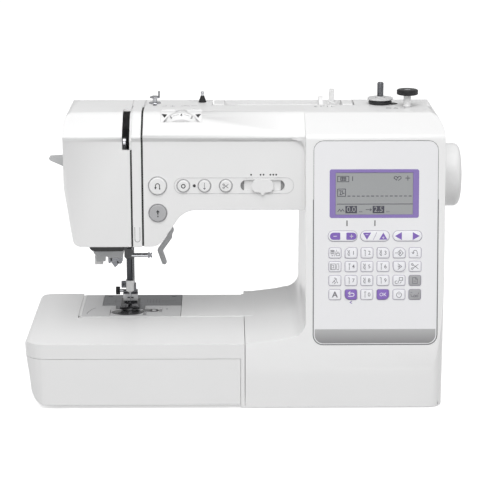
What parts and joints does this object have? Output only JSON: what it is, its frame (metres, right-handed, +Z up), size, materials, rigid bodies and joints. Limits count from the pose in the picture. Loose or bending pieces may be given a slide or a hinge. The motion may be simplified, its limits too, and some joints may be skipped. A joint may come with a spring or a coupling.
{
  "type": "sewing machine",
  "caption": "Free-arm domestic sewing machine with a flat-bed table, key panel with display, folding handle, handwheel, needle and presser mechanism.",
  "frame": {"origin": "centre of the bounding box's underside, on the surface the machine stands on", "axes": "+X to the right along the arm, +Y to the back, +Z up"},
  "size_m": [0.415, 0.18, 0.2885],
  "materials": {
    "shell_white": "satin moulded plastic",
    "light_grey_plastic": "fine matt",
    "panel_white": "satin film",
    "display_glass": "smooth",
    "key_white": "silicone",
    "button_white": "satin",
    "button_grey": "satin",
    "rubber_grey": "matt",
    "cast_metal": "as cast",
    "steel": "ground",
    "plate_steel": "brushed",
    "chrome_plate": "polished",
    "motor_case": "matt",
    "belt_rubber": "ribbed",
    "black_plastic": "fine matt",
    "clear_smoke": "clear",
    "mid_grey_plastic": "fine matt"
  },
  "bodies": {
    "frame": {"front_cover": "shell_white", "rear_cover": "shell_white", "face_cover": "shell_white", "thread_strip": "shell_white", "bed_cover": "shell_white", "base_pan": "shell_white", "rubber_feet": "rubber_grey", "panel_frame": "panel_white", "display": "display_glass", "chassis": "cast_metal", "motor": "motor_case", "belts": "belt_rubber", "bobbin_case": "black_plastic", "needle_plate": "plate_steel", "plate_cover": "light_grey_plastic", "winder_stopper": "black_plastic", "thread_guides": "black_plastic", "sockets": "black_plastic"},
    "table": {"extension_table": "shell_white"},
    "flap": {"accessory_lid": "shell_white"},
    "handle": {"carry_handle": "shell_white"},
    "keys": {"keypad": "key_white"},
    "rocker_left": {"rocker_minus_plus": "button_white"},
    "rocker_middle": {"rocker_down_up": "button_white"},
    "rocker_right": {"rocker_left_right": "button_white"},
    "start_stop": {"start_stop_button": "button_grey"},
    "reverse": {"reverse_button": "button_white"},
    "reinforce": {"reinforce_button": "button_white"},
    "needle_up_down": {"needle_button": "button_white"},
    "cutter": {"cutter_button": "button_white"},
    "slider": {"speed_slider": "button_white"},
    "drive": {"main_shaft": "steel", "handwheel": "shell_white"},
    "motor_rotor": {"motor_pulley": "black_plastic"},
    "lower": {"lower_shaft": "steel"},
    "hook_body": {"hook": "steel"},
    "bobbin_body": {"bobbin": "clear_smoke"},
    "feed_carriage": {"feed_base": "steel"},
    "teeth": {"feed_dog": "steel"},
    "bobbin_lid": {"bobbin_cover": "clear_smoke"},
    "needle_drive": {"needle_bar": "steel", "needle_clamp": "button_white", "clamp_screw": "steel", "needle": "steel", "connecting_rod": "steel"},
    "take_up": {"take_up_lever": "steel"},
    "presser": {"presser_bar": "steel", "foot_holder": "chrome_plate", "foot_screw": "black_plastic"},
    "foot": {"presser_foot": "clear_smoke"},
    "lifter": {"presser_lever": "mid_grey_plastic"},
    "threader": {"needle_threader": "mid_grey_plastic"},
    "threader_grip": {"threader_lever": "mid_grey_plastic"},
    "buttonhole": {"buttonhole_lever": "light_grey_plastic"},
    "tension": {"tension_wheel": "shell_white"},
    "winder_slide": {"winder_carriage": "mid_grey_plastic"},
    "winder": {"winder_spindle": "steel"},
    "spool": {"spool_pin": "shell_white"},
    "cap": {"spool_cap": "shell_white"},
    "switch": {"power_switch": "black_plastic"}
  },
  "joints": [
    {"name": "table_slide", "type": "slide", "parent": "frame", "child": "table", "axis": [-1, 0, 0], "range_m": [0, 0.2]},
    {"name": "flap_hinge", "type": "hinge", "parent": "table", "child": "flap", "pos_m": [-0.1, -0.0855, 0.0062], "axis": [1, 0, 0], "range_deg": [0, 70]},
    {"name": "handle_hinge", "type": "hinge", "parent": "frame", "child": "handle", "pos_m": [0.035, 0.02, 0.2631], "axis": [1, 0, 0], "range_deg": [0, 90]},
    {"name": "keypad_press", "type": "slide", "parent": "frame", "child": "keys", "axis": [0, 0.9901, -0.1402], "range_m": [0, 0.0008], "stiffness_N_per_m": 400},
    {"name": "minus_plus_rock", "type": "hinge", "parent": "frame", "child": "rocker_left", "pos_m": [0.087, -0.07068, 0.16049], "axis": [0, 0.1402, 0.9901], "range_deg": [-4, 4], "stiffness_Nm_per_rad": 0.05},
    {"name": "down_up_rock", "type": "hinge", "parent": "frame", "child": "rocker_middle", "pos_m": [0.1166, -0.07068, 0.16049], "axis": [0, 0.1402, 0.9901], "range_deg": [-4, 4], "stiffness_Nm_per_rad": 0.05},
    {"name": "left_right_rock", "type": "hinge", "parent": "frame", "child": "rocker_right", "pos_m": [0.1464, -0.07068, 0.16049], "axis": [0, 0.1402, 0.9901], "range_deg": [-4, 4], "stiffness_Nm_per_rad": 0.05},
    {"name": "start_stop_press", "type": "slide", "parent": "frame", "child": "start_stop", "axis": [0, 1, 0], "range_m": [0, 0.001], "stiffness_N_per_m": 400},
    {"name": "reverse_press", "type": "slide", "parent": "frame", "child": "reverse", "axis": [0, 1, 0], "range_m": [0, 0.001], "stiffness_N_per_m": 400},
    {"name": "reinforce_press", "type": "slide", "parent": "frame", "child": "reinforce", "axis": [0, 1, 0], "range_m": [0, 0.001], "stiffness_N_per_m": 400},
    {"name": "needle_press", "type": "slide", "parent": "frame", "child": "needle_up_down", "axis": [0, 1, 0], "range_m": [0, 0.001], "stiffness_N_per_m": 400},
    {"name": "cutter_press", "type": "slide", "parent": "frame", "child": "cutter", "axis": [0, 1, 0], "range_m": [0, 0.001], "stiffness_N_per_m": 400},
    {"name": "speed_slide", "type": "slide", "parent": "frame", "child": "slider", "axis": [1, 0, 0], "range_m": [-0.01, 0.01]},
    {"name": "handwheel_turn", "type": "hinge", "parent": "frame", "child": "drive", "pos_m": [0.15, 0.032, 0.196], "axis": [1, 0, 0], "continuous": true},
    {"name": "motor_turn", "type": "hinge", "parent": "frame", "child": "motor_rotor", "pos_m": [0.1, -0.028, 0.062], "axis": [1, 0, 0], "continuous": true},
    {"name": "lower_turn", "type": "hinge", "parent": "frame", "child": "lower", "pos_m": [0, 0.032, 0.035], "axis": [1, 0, 0], "continuous": true},
    {"name": "hook_turn", "type": "hinge", "parent": "frame", "child": "hook_body", "pos_m": [-0.1143, 0.0163, 0.045], "axis": [0, 0, 1], "continuous": true},
    {"name": "bobbin_turn", "type": "hinge", "parent": "frame", "child": "bobbin_body", "pos_m": [-0.1143, 0.0163, 0.05], "axis": [0, 0, 1], "continuous": true},
    {"name": "feed_forward", "type": "slide", "parent": "frame", "child": "feed_carriage", "axis": [0, 1, 0], "range_m": [-0.0025, 0.0025]},
    {"name": "feed_lower", "type": "slide", "parent": "feed_carriage", "child": "teeth", "axis": [0, 0, -1], "range_m": [0, 0.0016]},
    {"name": "bobbin_cover_unlatch", "type": "slide", "parent": "frame", "child": "bobbin_lid", "axis": [1, 0, 0], "range_m": [0, 0.0022]},
    {"name": "needle_stroke", "type": "slide", "parent": "frame", "child": "needle_drive", "axis": [0, 0, 1], "range_m": [0, 0.03]},
    {"name": "take_up_swing", "type": "hinge", "parent": "frame", "child": "take_up", "pos_m": [-0.113, 0.012, 0.2], "axis": [-1, 0, 0], "range_deg": [0, 24]},
    {"name": "presser_lift", "type": "slide", "parent": "frame", "child": "presser", "axis": [0, 0, 1], "range_m": [0, 0.007]},
    {"name": "foot_tilt", "type": "hinge", "parent": "presser", "child": "foot", "pos_m": [-0.1143, 0.042, 0.0695], "axis": [1, 0, 0], "range_deg": [-8, 0]},
    {"name": "lifter_swing", "type": "hinge", "parent": "frame", "child": "lifter", "pos_m": [-0.084, 0.062, 0.158], "axis": [0, -1, 0], "range_deg": [0, 60]},
    {"name": "threader_lower", "type": "slide", "parent": "frame", "child": "threader", "axis": [0, 0, -1], "range_m": [0, 0.018]},
    {"name": "threader_grip_lower", "type": "slide", "parent": "frame", "child": "threader_grip", "axis": [0, 0, -1], "range_m": [0, 0.04]},
    {"name": "buttonhole_lower", "type": "slide", "parent": "frame", "child": "buttonhole", "axis": [0, 0, -1], "range_m": [0, 0.028]},
    {"name": "tension_turn", "type": "hinge", "parent": "frame", "child": "tension", "pos_m": [-0.061, -0.023, 0.2445], "axis": [0, 1, 0], "range_deg": [-120, 120]},
    {"name": "winder_engage", "type": "slide", "parent": "frame", "child": "winder_slide", "axis": [1, 0, 0], "range_m": [0, 0.005]},
    {"name": "winder_turn", "type": "hinge", "parent": "winder_slide", "child": "winder", "pos_m": [0.127, 0.018, 0.27], "axis": [0, 0, 1], "continuous": true},
    {"name": "spool_pin_swing", "type": "hinge", "parent": "frame", "child": "spool", "pos_m": [0.0815, 0.033, 0.262], "axis": [0, 1, 0], "range_deg": [0, 30]},
    {"name": "spool_cap_slide", "type": "slide", "parent": "spool", "child": "cap", "axis": [-1, 0, 0], "range_m": [0, 0.045]},
    {"name": "power_rock", "type": "hinge", "parent": "frame", "child": "switch", "pos_m": [0.178, 0.036, 0.047], "axis": [0, 0, 1], "range_deg": [-6, 6]}
  ],
  "couplings": [
    {"joint": "motor_turn", "follows": "handwheel_turn", "ratio": 3.125},
    {"joint": "lower_turn", "follows": "handwheel_turn", "ratio": 1},
    {"joint": "hook_turn", "follows": "handwheel_turn", "ratio": 2},
    {"joint": "take_up_swing", "follows": "needle_stroke", "rad_per_m": 13.5},
    {"joint": "lifter_swing", "follows": "presser_lift", "rad_per_m": 148},
    {"joint": "threader_lower", "follows": "threader_grip_lower", "ratio": 0.45}
  ]
}
